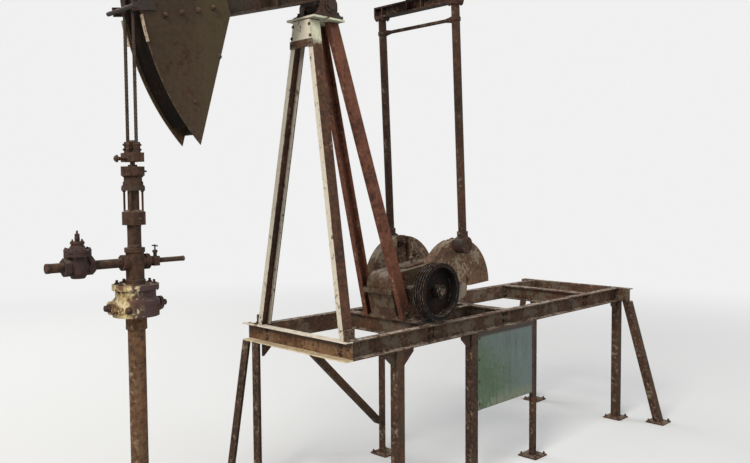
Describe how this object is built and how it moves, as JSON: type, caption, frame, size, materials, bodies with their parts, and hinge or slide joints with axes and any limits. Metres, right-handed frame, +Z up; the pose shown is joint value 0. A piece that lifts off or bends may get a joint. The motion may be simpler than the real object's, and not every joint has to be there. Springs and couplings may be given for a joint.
{
  "type": "beam pumping unit with wellhead",
  "caption": "Beam pumping unit on a tall steel leg stand: rocking beam with horsehead, cranks with fan weights, gear reducer and the wellhead it pumps, all rusted.",
  "frame": {"origin": "axis of the well casing at ground level", "axes": "+X from the well along the base to its rear, +Z up; +Y is the side away from the sheave"},
  "size_m": [6.415, 2.14, 4.763],
  "materials": {
    "rail_steel": "old paint gone, dark rust",
    "crossmember_steel": "old cream paint over orange rust",
    "leg_steel": "dark rust",
    "post_paint": "weathered cream paint",
    "post_rust": "red rust",
    "panel_paint": "faded blue-green paint",
    "iron_dark": "dark oily cast iron",
    "reducer_paint": "faded paint on casting",
    "head_paint": "olive brown paint with rust runs",
    "beam_paint": "dark brown paint with rust",
    "machined_steel": "worn, oily",
    "weight_iron": "faded paint on casting",
    "rope_wire": "greasy wire rope",
    "casing_rust": "orange rust",
    "wellhead_paint": "peeling cream paint",
    "fitting_iron": "red brown rust",
    "valve_iron": "dark red brown rust"
  },
  "bodies": {
    "stand": {"front_crossmember": "crossmember_steel", "rear_crossmember": "rail_steel", "side_rails": "rail_steel", "inner_crossmembers": "rail_steel", "gearbox_bearers": "rail_steel", "front_legs": "leg_steel", "middle_legs": "leg_steel", "rear_legs": "leg_steel", "raked_legs": "leg_steel", "foot_plates": "leg_steel", "far_brace": "leg_steel", "panel_post": "leg_steel", "guard_panel": "panel_paint", "post_front_legs": "post_paint", "post_rear_legs": "post_rust", "post_tie": "rail_steel", "post_cap": "post_paint", "saddle_bearings": "iron_dark", "gearbox_case": "reducer_paint", "gearbox_cover": "reducer_paint", "sheave_pedestal": "iron_dark", "casing": "casing_rust", "casing_head": "wellhead_paint", "pumping_tee": "fitting_iron", "riser": "fitting_iron", "stuffing_box": "fitting_iron", "flowline_nipples": "fitting_iron", "gate_valve": "valve_iron", "needle_valve": "fitting_iron"},
    "beam": {"walking_beam": "beam_paint", "beam_saddle": "iron_dark", "horsehead_plates": "head_paint", "horsehead_face": "beam_paint", "horsehead_ribs": "beam_paint", "cable_keeper": "iron_dark", "wrapped_cables": "rope_wire", "tail_bearing": "iron_dark"},
    "pitman": {"equalizer": "beam_paint", "pitmans": "leg_steel", "tie_rod": "leg_steel", "wrist_bearings": "iron_dark"},
    "crank": {"crankshaft": "machined_steel", "cranks": "weight_iron", "crank_weights": "weight_iron"},
    "rod": {"carrier_bar": "fitting_iron", "rod_clamp": "fitting_iron", "polished_rod": "machined_steel", "bridle_cables": "rope_wire"},
    "sheave": {"sheave_shaft": "machined_steel", "belt_sheave": "iron_dark"}
  },
  "joints": [
    {"name": "beam_rock", "type": "hinge", "parent": "stand", "child": "beam", "pos_m": [1.626, 0, 4.06], "axis": [0, 1, 0], "range_deg": [0, 37.55]},
    {"name": "pitman_swing", "type": "hinge", "parent": "beam", "child": "pitman", "pos_m": [2.79874, 0, 4.39628], "axis": [0, 1, 0], "range_deg": [-40, 0]},
    {"name": "crank_turn", "type": "hinge", "parent": "stand", "child": "crank", "pos_m": [2.93, 0, 1.73], "axis": [0, 1, 0], "range_deg": [0, 178]},
    {"name": "rod_lift", "type": "slide", "parent": "stand", "child": "rod", "axis": [0, 0, 1], "range_m": [0, 1.066], "deforming": ["bridle_cables"]},
    {"name": "sheave_spin", "type": "hinge", "parent": "stand", "child": "sheave", "pos_m": [2.42, 0, 1.765], "axis": [0, 1, 0], "continuous": true}
  ],
  "couplings": [
    {"joint": "pitman_swing", "follows": "beam_rock", "ratio": -1.0618},
    {"joint": "crank_turn", "follows": "beam_rock", "ratio": 4.7318},
    {"joint": "rod_lift", "follows": "beam_rock", "m_per_rad": 1.626}
  ]
}
